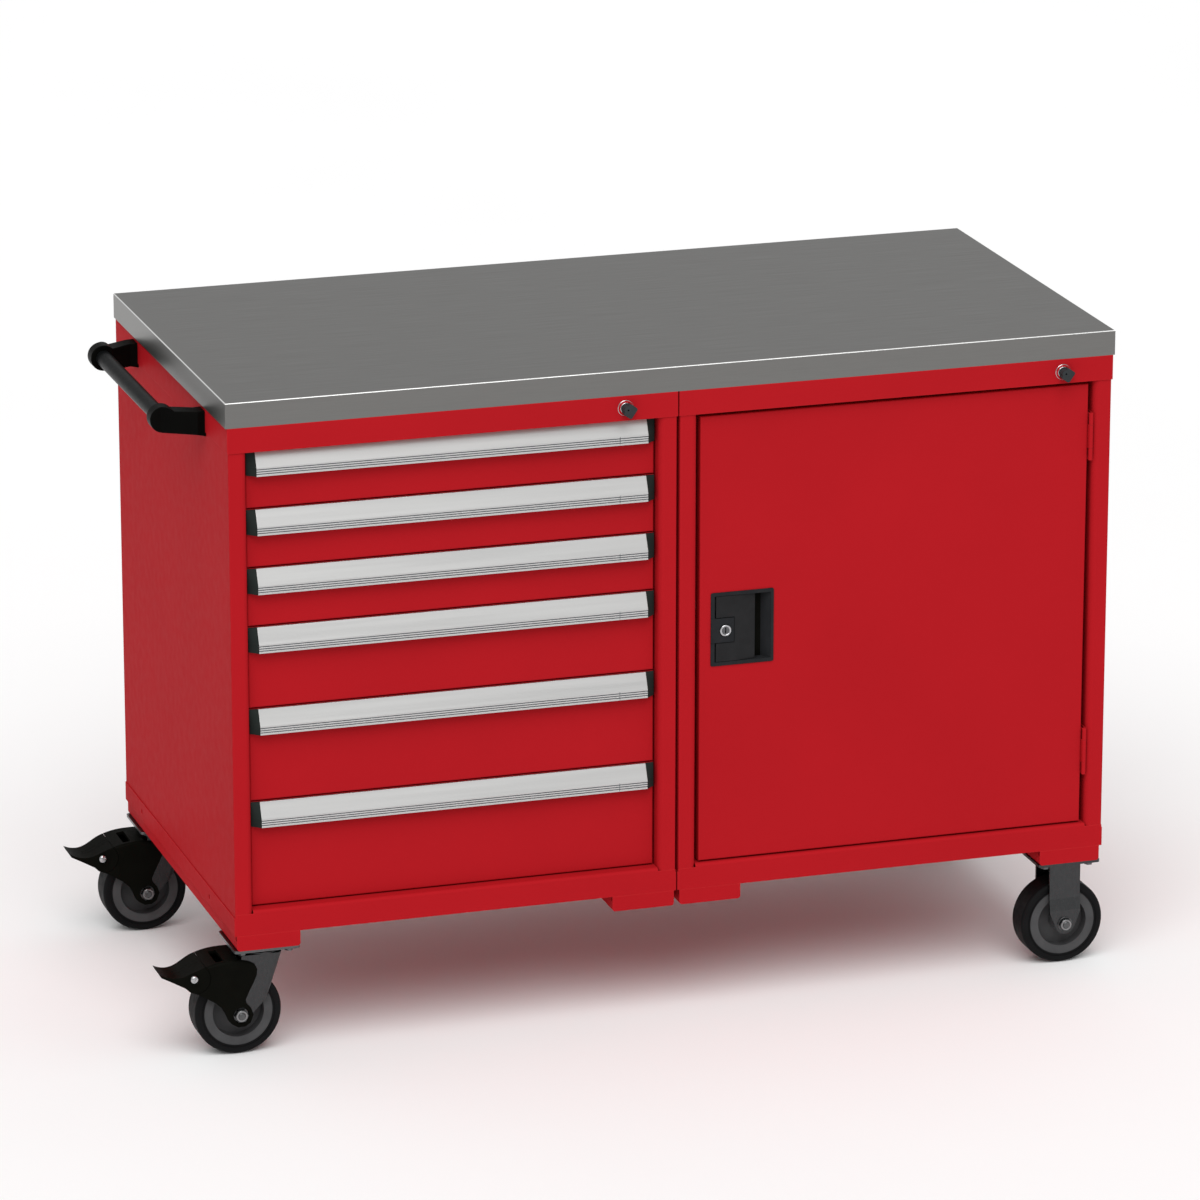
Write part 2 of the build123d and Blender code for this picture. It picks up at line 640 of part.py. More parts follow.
def latch_lock():
    centre = (LATCH_LOCK_X, LATCH_LOCK_Z)
    plug = rod("y", PLUG_RADIUS + 2, centre, LATCH_FRONT - 2, LATCH_FRONT + LATCH_DEPTH)
    cam = block(centre[0] - 5, centre[0] + 5, LATCH_FRONT + LATCH_DEPTH, LATCH_FRONT + LATCH_DEPTH + 2,
                centre[1] - 18, centre[1] + 6)
    slot = block(centre[0] - 1, centre[0] + 1, LATCH_FRONT - 3, LATCH_FRONT + 4,
                 centre[1] - 4.5, centre[1] + 4.5)
    return plug + cam - slot


def lock_barrel(centre):
    ring = rod("y", LOCK_RING_RADIUS, centre, -1.5, 0)
    ring = chamfer(ring.edges().group_by(Axis.Y)[0], 0.8)
    tube = rod("y", BARREL_RADIUS, centre, -3, 16)
    tube = chamfer(tube.edges().group_by(Axis.Y)[0], 0.6)
    return ring + tube - rod("y", PLUG_RADIUS + PLUG_CLEARANCE, centre, -3, 16)


def lock_key(centre):
    """Turning plug with the key's moulded bow hanging from it."""
    plug = rod("y", PLUG_RADIUS, centre, -3, 18)
    cam = block(centre[0] - 6, centre[0] + 6, 16.5, 18.5, centre[1] - 12, centre[1] + 6)
    bow = fillet(Box(KEY_BOW[0], KEY_REACH - 3, KEY_BOW[1]).edges().filter_by(Axis.Y), 3)
    bow = fillet(bow.edges().group_by(Axis.Y)[0], 1)
    bow = Pos(KEY_BOW_SHIFT, 0, 0) * bow
    bow = Pos(centre[0], -(KEY_REACH + 3) / 2, centre[1]) * Rot(0, KEY_HANG, 0) * bow
    shank = rod("y", KEY_SHANK_RADIUS, centre, -KEY_REACH, -3)
    eye = rod("y", 1.5, centre, -KEY_REACH, -KEY_REACH + 4)
    return plug + cam + bow + shank - eye


def push_bracket():
    """Bracket nearer the front: a foot on the cabinet and an arm leaning back to the round end."""
    side = CABINET_LEFTS[0] - CAP_OVERHANG
    heel = side - BRACKET_HEEL
    bottom, top = BRACKET_FOOT_Z
    foot_near, foot_far = BRACKET_FOOT
    end_near, end_far = BRACKET_END
    below, above = BRACKET_DRAFT
    tip = PUSH_BAR_X - 1.25 * BRACKET_END_RADIUS
    near_shoulder, far_shoulder = BRACKET_SHOULDER
    arm = outline([
        (side, top),
        (side, bottom),
        (heel, bottom + below),
        (PUSH_BAR_X, PUSH_BAR_Z - BRACKET_END_RADIUS),
        (PUSH_BAR_X, top - above),
    ])
    plan = outline([
        (side, foot_near),
        (heel, foot_near),
        (PUSH_BAR_X - near_shoulder, end_near),
        (tip, end_near),
        (tip, end_far),
        (PUSH_BAR_X + far_shoulder, end_far),
        (heel, foot_far),
        (side, foot_far),
    ])
    shape = prism(arm, "y", foot_near, end_far)
    shape += rod("y", BRACKET_END_RADIUS, (PUSH_BAR_X, PUSH_BAR_Z), foot_near, end_far)
    shape &= prism(plan, "z", 0, BENCH_HEIGHT)
    shape = fillet(shape.edges().filter_by(lambda edge: edge.center().X < side - 1), BRACKET_EDGE)
    pad = block(side - 1, CABINET_LEFTS[0], foot_near, foot_far, bottom, CABINET_TOP - CAP_HEIGHT)
    return shape + pad


def push_bar():
    near = BRACKET_END[1]
    return rod("y", PUSH_BAR_RADIUS, (PUSH_BAR_X, PUSH_BAR_Z), near, 2 * BRACKET_MIDDLE_Y - near)


def castor_plate(x, y):
    plate = block(x - PLATE_LENGTH / 2, x + PLATE_LENGTH / 2, y - PLATE_WIDTH / 2, y + PLATE_WIDTH / 2,
                  PLATE_BOTTOM, CHANNEL_BOTTOM)
    plate = fillet(plate.edges().filter_by(Axis.Z), PLATE_CORNER)
    half = BOLT_SPACING / 2
    holes = [rod("z", BOLT_RADIUS, (x + a, y + b), PLATE_BOTTOM, CHANNEL_BOTTOM)
             for a in (-half, half) for b in (-half, half)]
    return plate - holes


def swivel_plate(x, y):
    """Top plate with the fixed half of the ball race and the kingpin."""
    race = rod("z", RACE_RADIUS, (x, y), FORK_TOP + 3.5, PLATE_BOTTOM)
    race = fillet(race.edges().group_by(Axis.Z)[0], 2)
    pin = rod("z", KINGPIN_RADIUS, (x, y), FORK_TOP - FORK_SHEET - 1, FORK_TOP + 4)
    head = rod("z", KINGPIN_RADIUS + 5, (x, y), FORK_TOP - FORK_SHEET - 6, FORK_TOP - FORK_SHEET - 0.6)
    return castor_plate(x, y) + race + pin + head


def castor_bolts(x, y):
    half = BOLT_SPACING / 2
    bolts = []
    for a in (-half, half):
        for b in (-half, half):
            place = Pos(x + a, y + b, PLATE_BOTTOM - BOLT_HEAD_HEIGHT)
            head = extrude(place * RegularPolygon(BOLT_HEAD_RADIUS, 6), BOLT_HEAD_HEIGHT)
            bolts.append(head + rod("z", BOLT_RADIUS, (x + a, y + b), PLATE_BOTTOM, CHANNEL_BOTTOM))
    return bolts


def axle(x, y, nut_face):
    """Axle bolt with a hexagon nut outside each leg."""
    nut_start = FORK_GAP / 2 + FORK_SHEET
    shaft = rod("y", AXLE_RADIUS, (x, WHEEL_RADIUS), y - nut_face + 1, y + nut_face - 1)
    hexagon = RegularPolygon(NUT_ACROSS_FLATS / 2, 6, major_radius=False)
    plane = Plane(origin=(x, y - nut_start, WHEEL_RADIUS), x_dir=(1, 0, 0), z_dir=(0, -1, 0))
    nut = extrude(plane * hexagon, nut_face - nut_start)
    nut = nut - rod("y", AXLE_RADIUS, (x, WHEEL_RADIUS), y - nut_face - 1, y)
    far_nut = mirror(nut, Plane(origin=(0, y, 0), z_dir=(0, 1, 0)))
    return [shaft, nut, far_nut]


def swivel_fork(x, y):
    """Fork pressed from one sheet: two legs whose front edges fold inwards, and a dished head."""
    half = FORK_GAP / 2 + FORK_SHEET
    axle_x = x - TRAIL
    (head_front, head_top), (knee_x, knee_z) = FORK_FRONT
    boss = Pos(axle_x, WHEEL_RADIUS) * Circle(FORK_BOSS_RADIUS)
    head = outline([
        (FORK_BACK, head_top),
        (head_front, head_top),
        (knee_x, knee_z),
        (FORK_BACK, head_top - FORK_HEAD_DEPTH),
    ])
    profile = make_hull(boss.edges() + head.edges())
    fork = prism(profile, "y", y - half, y + half)
    middle = ((head_front + knee_x) / 2, y, (head_top + knee_z) / 2)
    folds = [fork.edges().sort_by_distance((middle[0], y + side * half, middle[2]))[0] for side in (-1, 1)]
    fork = fillet(folds, FORK_FOLD)
    sheet = FORK_SHEET
    inside = outline([
        (-CASTOR_REACH, FORK_FLOOR),
        (-CASTOR_REACH, head_top - sheet),
        (head_front - sheet - 2, head_top - sheet),
        (knee_x - sheet - 1, knee_z),
        (knee_x - sheet - 1, FORK_FLOOR),
    ])
    fork -= prism(inside, "y", y - half + sheet, y + half - sheet)
    fork -= block(-CASTOR_REACH, CASTOR_REACH, y - FORK_SLOT, y + FORK_SLOT, FORK_FLOOR, head_top - sheet)
    dish = rod("z", DISH_RADIUS, (x, y), FORK_TOP - 1, FORK_TOP + 3)
    dish = fillet(dish.edges().group_by(Axis.Z)[-1], 2)
    dish &= block(x - 50, x + head_front - x - 1, y - half, y + half, FORK_TOP - 1, FORK_TOP + 3)
    fork = fork + dish - rod("z", RACE_RADIUS - 8, (x, y), FORK_TOP, FORK_TOP + 4)
    fork -= rod("z", KINGPIN_RADIUS + KINGPIN_FIT, (x, y), FORK_TOP - 10, FORK_TOP + 10)
    for piece in axle(axle_x, y, SWIVEL_NUT_FACE):
        fork += piece
    return fork


def brake_cover(y):
    """Whole outer shape of the brake cover, pedal included."""
    half = FORK_GAP / 2 + FORK_SHEET + CHEEK
    top = Spline(*COVER_TOP)
    rest = Polyline(COVER_TOP[-1], *COVER_BOTTOM, COVER_TOP[0])
    cover = prism(make_face([top, rest]), "y", y - half, y + half)
    cover = fillet(cover.edges().filter_by(GeomType.BSPLINE), COVER_EDGE)
    tip = COVER_TOP[0][0] - 1
    near = [(tip, y - COVER_TIP_HALF), (COVER_PLAN_BREAK, y - half), (60, y - half)]
    far = [(a, 2 * y - b) for a, b in near[::-1]]
    return cover & prism(outline(near + far), "z", 0, CHANNEL_BOTTOM)


def pedal_zone(y, radius, half, edge):
    """Room swept round the pedal pivot, with everything on the tip's side of it."""
    round_end = rod("y", radius, PEDAL_PIVOT, y - half, y + half)
    return round_end + block(-CASTOR_REACH, edge, y - half, y + half, 0, CHANNEL_BOTTOM)


def brake_housing(x, y):
    inner = FORK_GAP / 2 + FORK_SHEET
    wide = inner + CHEEK + 1
    axle_at = (x - TRAIL, WHEEL_RADIUS)
    housing = brake_cover(y)
    tongue = housing & rod("y", PEDAL_ROOT_RADIUS, PEDAL_PIVOT, y - PEDAL_TONGUE, y + PEDAL_TONGUE)
    housing -= prism(outline(COVER_CAVITY), "y", y - inner, y + inner)
    wheel_half = WHEEL_WIDTH / 2 + WHEEL_CLEARANCE
    housing -= rod("y", WHEEL_RADIUS + WHEEL_CLEARANCE, axle_at, y - wheel_half, y + wheel_half)
    middle = housing & block(PEDAL_PIVOT[0], 0, y - PEDAL_TONGUE, y + PEDAL_TONGUE, 0, CHANNEL_BOTTOM)
    housing -= pedal_zone(y, PEDAL_ROOT_RADIUS + PEDAL_SEAM, wide, PEDAL_PIVOT[0] + PEDAL_SEAM)
    housing = housing + middle + tongue
    slot_near, slot_far = COVER_SLOT_SIDES
    housing -= block(*COVER_SLOT_X, y + slot_near, y + slot_far, WHEEL_RADIUS, CHANNEL_BOTTOM)
    near, far = SCREW_FACES
    housing += rod("y", PEDAL_PIN_RADIUS, PEDAL_PIVOT, y - near, y + near)
    nut_room = NUT_ACROSS_FLATS / 2 + NUT_ROOM
    for start, end in ((y - far, y - near), (y + near, y + far)):
        housing += rod("y", SCREW_RADIUS, PEDAL_PIVOT, start, end)
    for start, end in ((y - wide, y - inner), (y + inner, y + wide)):
        housing -= rod("y", nut_room, axle_at, start, end)
    return housing


def brake_pedal(y):
    half = FORK_GAP / 2 + FORK_SHEET + CHEEK + 1
    pedal = brake_cover(y) & pedal_zone(y, PEDAL_ROOT_RADIUS, half, PEDAL_PIVOT[0])
    groove = PEDAL_TONGUE + PEDAL_SEAM
    pedal -= rod("y", PEDAL_ROOT_RADIUS + PEDAL_SEAM, PEDAL_PIVOT, y - groove, y + groove)
    return pedal - rod("y", PEDAL_PIN_RADIUS + WHEEL_FIT, PEDAL_PIVOT, y - half, y + half)


def rigid_castor(x, y):
    half = RIGID_LEG_WIDTH / 2
    end = Pos(x, WHEEL_RADIUS) * Circle(RIGID_END_RADIUS)
    taper = make_hull(end.edges() + (Pos(x, RIGID_TAPER_TOP) * Rectangle(RIGID_LEG_WIDTH, 1)).edges())
    straight = outline([
        (x - half, RIGID_TAPER_TOP),
        (x + half, RIGID_TAPER_TOP),
        (x + half, PLATE_BOTTOM),
        (x - half, PLATE_BOTTOM),
    ])
    profile = taper + straight
    leg = FORK_GAP / 2 + FORK_SHEET
    high, low = RIGID_JOGGLE
    section = bent_sheet((
        (y - leg, WHEEL_RADIUS - RIGID_LEG_DROP, 0),
        (y - leg, low, RIGID_JOGGLE_BEND),
        (y - leg + RIGID_INSET, high, RIGID_JOGGLE_BEND),
        (y - leg + RIGID_INSET, PLATE_BOTTOM, FORK_BEND),
        (y + leg - RIGID_INSET, PLATE_BOTTOM, FORK_BEND),
        (y + leg - RIGID_INSET, high, RIGID_JOGGLE_BEND),
        (y + leg, low, RIGID_JOGGLE_BEND),
        (y + leg, WHEEL_RADIUS - RIGID_LEG_DROP, 0),
    ), -FORK_SHEET)
    fork = prism(section, "x", x - half, x + half) & prism(profile, "y", y - CASTOR_REACH, y + CASTOR_REACH)
    frame = castor_plate(x, y) + fork
    for piece in axle(x, y, RIGID_NUT_FACE):
        frame += piece
    return frame


def tyre(x, y):
    half = WHEEL_WIDTH / 2
    ring = rod("y", WHEEL_RADIUS, (x, WHEEL_RADIUS), y - half, y + half)
    ring = fillet(ring.edges().filter_by(GeomType.CIRCLE), TYRE_SHOULDER)
    for side in (y - half, y + half):
        groove = rod("y", HUB_RADIUS + 4, (x, WHEEL_RADIUS), side - 1, side + 1)
        ring -= groove - rod("y", HUB_RADIUS + 2, (x, WHEEL_RADIUS), side - 1, side + 1)
    return ring - rod("y", HUB_RADIUS, (x, WHEEL_RADIUS), y - half, y + half)


def hub(x, y):
    half = WHEEL_WIDTH / 2
    centre = (x, WHEEL_RADIUS)
    body = rod("y", HUB_RADIUS, centre, y - half + 1, y + half - 1)
    for side in (-1, 1):
        face = y + side * (half - 1)
        floor = y + side * 4
        dish = rod("y", HUB_RIM, centre, min(face, floor), max(face, floor))
        body -= dish
    core = rod("y", 17, centre, y - HUB_LENGTH / 2, y + HUB_LENGTH / 2)
    core = fillet(core.edges().filter_by(GeomType.CIRCLE), 2)
    return body + core - rod("y", AXLE_RADIUS + WHEEL_FIT, centre, y - 40, y + 40)


left_cabinet, right_cabinet = CABINET_LEFTS
drawer_middle = left_cabinet + CABINET_WIDTH / 2
door_middle = right_cabinet + CABINET_WIDTH / 2
uprights = [slide_upright(y) for y in UPRIGHT_POSITIONS]
uprights += [mirrored(upright, drawer_middle) for upright in uprights]

bracket = push_bracket()
brackets = (bracket, mirror(bracket, Plane(origin=(0, BRACKET_MIDDLE_Y, 0), z_dir=(0, 1, 0))))

save("worktop_skin", worktop_skin())
save("worktop_core", worktop_core())
save("drawer_cabinet_left_side", cabinet_side(left_cabinet))
save("drawer_cabinet_right_side", mirrored(cabinet_side(left_cabinet), drawer_middle))
save("door_cabinet_left_side", cabinet_side(right_cabinet))
save("door_cabinet_right_side", mirrored(cabinet_side(right_cabinet), door_middle))
save("cabinet_backs", *[cabinet_back(left) for left in CABINET_LEFTS])
save("cabinet_top_caps", *[cabinet_cap(*pair) for pair in zip(CABINET_LEFTS, LOCK_POSITIONS)])
save("cabinet_bases", *[cabinet_base(left) for left in CABINET_LEFTS])
save("cabinet_shelf", cabinet_shelf())
save("base_channels", *[base_channel(left) for left in CHANNEL_LEFTS])
save("slide_uprights", *uprights)
save("push_handle_brackets", *brackets)
save("push_handle_bar", push_bar())
save("top_lock_barrels", *[lock_barrel(centre) for centre in LOCK_POSITIONS])
save("drawer_lock_key", lock_key(LOCK_POSITIONS[0]))
save("cabinet_lock_key", lock_key(LOCK_POSITIONS[1]))

channels = [slide_channel(bottom + SLIDE_RISE) for bottom, top in drawer_levels()]
save("slide_channels", *channels, *[mirrored(channel, drawer_middle) for channel in channels])
front_left = left_cabinet + POST_WIDTH + DRAWER_SIDE_GAP
front_right = 2 * drawer_middle - front_left
for number, (bottom, top) in enumerate(drawer_levels(), start=1):
    save(f"drawer_{number}_box", drawer_box(bottom, top, drawer_middle))
    save(f"drawer_{number}_handle",
         drawer_handle(top, front_left + HANDLE_END_GAP, front_right - HANDLE_END_GAP))
    save(f"drawer_{number}_end_caps",
         drawer_end_cap(top, front_left + HANDLE_END_GAP, front_left),
         drawer_end_cap(top, front_right - HANDLE_END_GAP, front_right))

save("door_panel", door_panel())
save("hinge_frame_leaves", *[hinge_frame_leaf(bottom) for bottom in HINGE_BOTTOMS])
save("hinge_door_leaves", *[hinge_door_leaf(bottom) for bottom in HINGE_BOTTOMS])
save("latch_housing", latch_housing())
save("latch_paddle", latch_paddle())
save("latch_bolt", latch_bolt())
save("latch_lock", latch_lock())

wheel_rows = (("front", FRONT_WHEEL_Y), ("rear", REAR_WHEEL_Y))
bolts = []
for row, y in wheel_rows:
    save(f"swivel_fork_{row}", swivel_fork(SWIVEL_X, y))
    save(f"brake_housing_{row}", brake_housing(SWIVEL_X, y))
    save(f"brake_pedal_{row}", brake_pedal(y))
    for side, x in (("swivel", SWIVEL_X - TRAIL), ("rigid", RIGID_X)):
        save(f"{side}_tyre_{row}", tyre(x, y))
        save(f"{side}_hub_{row}", hub(x, y))
    bolts += castor_bolts(SWIVEL_X, y) + castor_bolts(RIGID_X, y)
save("swivel_castor_plates", *[swivel_plate(SWIVEL_X, y) for row, y in wheel_rows])
save("rigid_castor_frames", *[rigid_castor(RIGID_X, y) for row, y in wheel_rows])
save("castor_bolts", *bolts)
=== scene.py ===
import json
import math

import bmesh
import bpy
from mathutils import Matrix, Vector


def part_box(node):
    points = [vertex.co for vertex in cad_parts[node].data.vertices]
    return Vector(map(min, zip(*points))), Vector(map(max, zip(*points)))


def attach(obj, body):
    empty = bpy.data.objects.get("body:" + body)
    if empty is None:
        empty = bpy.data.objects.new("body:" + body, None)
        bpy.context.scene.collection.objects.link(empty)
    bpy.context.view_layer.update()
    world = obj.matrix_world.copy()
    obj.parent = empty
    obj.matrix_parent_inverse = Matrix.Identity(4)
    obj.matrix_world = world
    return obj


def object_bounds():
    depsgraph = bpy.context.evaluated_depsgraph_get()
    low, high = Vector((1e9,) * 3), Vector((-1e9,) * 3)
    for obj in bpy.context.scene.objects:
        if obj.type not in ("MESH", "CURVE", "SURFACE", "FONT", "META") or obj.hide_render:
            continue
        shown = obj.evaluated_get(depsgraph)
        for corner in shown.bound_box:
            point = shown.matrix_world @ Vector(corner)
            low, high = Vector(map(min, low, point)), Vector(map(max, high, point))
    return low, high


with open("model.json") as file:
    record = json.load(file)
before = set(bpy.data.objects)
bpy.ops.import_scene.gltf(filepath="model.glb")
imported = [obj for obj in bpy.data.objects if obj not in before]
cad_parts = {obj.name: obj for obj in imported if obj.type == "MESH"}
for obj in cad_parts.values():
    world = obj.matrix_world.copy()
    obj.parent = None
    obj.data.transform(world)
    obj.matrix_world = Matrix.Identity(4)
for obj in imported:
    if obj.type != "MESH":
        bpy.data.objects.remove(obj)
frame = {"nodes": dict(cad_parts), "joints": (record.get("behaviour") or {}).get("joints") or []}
CAD_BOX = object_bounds()
NODES = frame["nodes"]
JOINTS = {joint["name"]: joint for joint in frame["joints"]}
MM = 0.001

# ---------------------------------------------------------------- camera, light and floor
CAMERA_FROM_CORNER = (-2.5047, -9.7201, 2.7484)  # from the worktop's front left top corner
CAMERA_RIGHT = (0.952516, -0.304487, 0.000359)
CAMERA_UP = (0.08866, 0.278478, 0.956342)
CAMERA_BACK = (-0.291293, -0.9109, 0.29225)
LENS = 203.35
SENSOR_WIDTH = 36
VIEW_REACH = 200
WORLD_STRENGTH = 0.6
SUN_PLACE = (-1.6, -5, 7.5)
SUN_STRENGTH = 1.9
SUN_ANGLE = 50
FLOOR_REACH = 60
FLOOR_GAP = 0.5 * MM


def make_camera():
    data = bpy.data.cameras.new("camera")
    data.sensor_width = SENSOR_WIDTH
    data.lens = LENS
    data.clip_end = VIEW_REACH
    camera = bpy.data.objects.new("camera", data)
    bpy.context.collection.objects.link(camera)
    turn = Matrix((CAMERA_RIGHT, CAMERA_UP, CAMERA_BACK)).transposed()
    low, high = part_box("worktop_skin")
    corner = Vector((low[0], low[1], high[2]))
    camera.matrix_world = Matrix.Translation(corner + Vector(CAMERA_FROM_CORNER)) @ turn.to_4x4()
    bpy.context.scene.camera = camera


def make_sun():
    """A broad soft sun from the front left, aimed at the middle of the floor."""
    data = bpy.data.lights.new("key", "SUN")
    data.energy = SUN_STRENGTH
    data.angle = math.radians(SUN_ANGLE)
    sun = bpy.data.objects.new("key", data)
    sun.location = SUN_PLACE
    sun.rotation_euler = (-Vector(SUN_PLACE)).to_track_quat("-Z", "Y").to_euler()
    bpy.context.collection.objects.link(sun)


def make_world():
    world = bpy.data.worlds.new("studio")
    world.use_nodes = True
    background = world.node_tree.nodes["Background"]
    background.inputs["Color"].default_value = (1, 1, 1, 1)
    background.inputs["Strength"].default_value = WORLD_STRENGTH
    bpy.context.scene.world = world


# ---------------------------------------------------------------- materials
def rgb(r, g, b):
    """Linear colour from 0-255 display values."""
    def channel(v):
        v /= 255
        return v / 12.92 if v <= 0.04045 else ((v + 0.055) / 1.055) ** 2.4
    return (channel(r), channel(g), channel(b), 1)


class Surface:
    """A Principled material built up node by node, textured in object metres."""

    def __init__(self, name, color, rough=0.5, metallic=0.0, **values):
        self.material = bpy.data.materials.new(name)
        self.material.use_nodes = True
        self.tree = self.material.node_tree
        self.shader = self.tree.nodes["Principled BSDF"]
        self.place = self.node("ShaderNodeTexCoord").outputs["Object"]
        self.color = color
        self.base = color
        self.normal = None
        self.set("Base Color", color)
        self.set("Roughness", rough)
        self.set("Metallic", metallic)
        for key, value in values.items():
            self.set(key.replace("_", " "), value)

    def node(self, kind, **settings):
        made = self.tree.nodes.new(kind)
        for key, value in settings.items():
            setattr(made, key, value)
        return made

    def link(self, a, b):
        self.tree.links.new(a, b)

    def set(self, socket, value):
        self.shader.inputs[socket].default_value = value

    def noise(self, scale, stretch=(1, 1, 1), detail=4.0, rough=0.55, seed=0.0):
        mapping = self.node("ShaderNodeMapping")
        mapping.inputs["Scale"].default_value = stretch
        mapping.inputs["Location"].default_value = (seed, seed * 1.7, -seed)
        self.link(self.place, mapping.inputs["Vector"])
        noise = self.node("ShaderNodeTexNoise")
        noise.inputs["Scale"].default_value = scale
        noise.inputs["Detail"].default_value = detail
        noise.inputs["Roughness"].default_value = rough
        self.link(mapping.outputs["Vector"], noise.inputs["Vector"])
        return noise.outputs["Fac"]

    def remap(self, value, low, high, out_low, out_high):
        ramp = self.node("ShaderNodeMapRange")
        for key, number in zip(("From Min", "From Max", "To Min", "To Max"), (low, high, out_low, out_high)):
            ramp.inputs[key].default_value = number
        self.link(value, ramp.inputs["Value"])
        return ramp.outputs["Result"]

    def mix(self, factor, first, second):
        """Colour going from first to second; each is a colour or a socket."""
        mix = self.node("ShaderNodeMix", data_type="RGBA")
        self.link(factor, mix.inputs["Factor"])
        for socket, value in ((mix.inputs[6], first), (mix.inputs[7], second)):
            if isinstance(value, tuple):
                socket.default_value = value
            else:
                self.link(value, socket)
        return mix.outputs[2]

    def vary(self, scale, amount, stretch=(1, 1, 1), seed=0.0, detail=4.0):
        """Lightens and darkens the base colour by amount."""
        fac = self.remap(self.noise(scale, stretch, detail, seed=seed), 0.3, 0.7, 0.0, 1.0)
        dark = tuple(c * (1 - amount) for c in self.color[:3]) + (1,)
        light = tuple(min(1, c * (1 + amount)) for c in self.color[:3]) + (1,)
        self.base = self.mix(fac, dark, light)
        self.link(self.base, self.shader.inputs["Base Color"])
        return self

    def roughen(self, scale, low, high, stretch=(1, 1, 1), seed=0.0):
        fac = self.noise(scale, stretch, seed=seed)
        self.link(self.remap(fac, 0.3, 0.7, low, high), self.shader.inputs["Roughness"])
        return self

    def round_edges(self, radius, samples=4):
        bevel = self.node("ShaderNodeBevel", samples=samples)
        bevel.inputs["Radius"].default_value = radius
        self.normal = bevel.outputs["Normal"]
        self.link(self.normal, self.shader.inputs["Normal"])
        return self

    def painted_edge_highlight(self, color, radius, amount, samples=4):
        """Painted highlight: blends the base colour towards color where the surface turns sharply outwards.
        """
        bevel = self.node("ShaderNodeBevel", samples=samples)
        bevel.inputs["Radius"].default_value = radius
        geometry = self.node("ShaderNodeNewGeometry")
        dot = self.node("ShaderNodeVectorMath", operation="DOT_PRODUCT")
        self.link(bevel.outputs["Normal"], dot.inputs[0])
        self.link(geometry.outputs["Normal"], dot.inputs[1])
        factor = self.remap(dot.outputs["Value"], 0.995, 0.85, 0.0, amount)
        self.link(self.mix(factor, self.base, color), self.shader.inputs["Base Color"])
        return self

    def painted_curve_highlight(self, color, start=0.012, full=0.09):
        """Painted highlight: blends the base colour towards color on the rounded strips between flat faces.
        """
        turned = self.node("ShaderNodeVectorMath", operation="ABSOLUTE")
        self.link(self.node("ShaderNodeTexCoord").outputs["Normal"], turned.inputs[0])
        parts = self.node("ShaderNodeSeparateXYZ")
        self.link(turned.outputs["Vector"], parts.inputs[0])
        widest = parts.outputs["X"]
        for axis in ("Y", "Z"):
            larger = self.node("ShaderNodeMath", operation="MAXIMUM")
            self.link(widest, larger.inputs[0])
            self.link(parts.outputs[axis], larger.inputs[1])
            widest = larger.outputs["Value"]
        factor = self.remap(widest, 1 - start, 1 - full, 0.0, 1.0)
        self.link(self.mix(factor, self.base, color), self.shader.inputs["Base Color"])
        return self

    def bump(self, scale, height, stretch=(1, 1, 1), detail=3.0, seed=0.0, strength=1.0):
        bump = self.node("ShaderNodeBump")
        bump.inputs["Distance"].default_value = height
        bump.inputs["Strength"].default_value = strength
        self.link(self.noise(scale, stretch, detail, seed=seed), bump.inputs["Height"])
        if self.normal is not None:
            self.link(self.normal, bump.inputs["Normal"])
        self.normal = bump.outputs["Normal"]
        self.link(self.normal, self.shader.inputs["Normal"])
        return self


def red_paint(name, color, seed):
    surface = Surface(name, color, rough=0.5, Specular_IOR_Level=0.012)
    surface.vary(3.0, 0.035, seed=seed)
    # Painted highlight: lighter red along the paint's sharp outward edges.
    surface.painted_edge_highlight(rgb(214, 52, 54), 0.0015, 0.55)
    surface.roughen(60, 0.46, 0.56, seed=seed)
    surface.round_edges(0.0012)
    return surface.bump(1400, 0.000012, seed=seed).material


def brushed_metal(name, color, rough, stretch, seed, bump=0.00002, vary=0.07, edge=None,
                  rim=None, grain=220):
    surface = Surface(name, color, rough=rough, metallic=1.0)
    surface.vary(grain, vary, stretch, seed, detail=6)
    # Painted highlight on the rounded strips between flat faces.
    if edge:
        surface.painted_curve_highlight(edge)
    # Painted highlight along sharp outward edges.
    if rim:
        surface.painted_edge_highlight(rim, 0.001, 0.7)
    surface.roughen(grain / 2, rough - 0.05, rough + 0.05, stretch, seed + 2)
    surface.round_edges(0.0004 if edge else 0.0008)
    return surface.bump(300, bump, stretch, seed=seed + 5).material


def plastic(name, color, rough, grain=0.00003, seed=0.0, scale=1800, shine=0.03):
    surface = Surface(name, color, rough=rough, Specular_IOR_Level=shine)
    surface.vary(40, 0.12, seed=seed)
    surface.roughen(200, rough - 0.05, rough + 0.07, seed=seed)
    surface.round_edges(0.0008)
    return surface.bump(scale, grain, seed=seed).material


def board(name):
    surface = Surface(name, rgb(176, 140, 98), rough=0.7)
    surface.vary(700, 0.35, seed=3)
    return surface.bump(900, 0.0001, seed=2).material


def rubber(name):
    surface = Surface(name, rgb(17, 17, 18), rough=0.45, Specular_IOR_Level=0.08)
    surface.vary(25, 0.2, seed=8)
    surface.roughen(90, 0.48, 0.64, seed=4)
    surface.round_edges(0.0006)
    return surface.bump(1200, 0.00005, seed=9).material


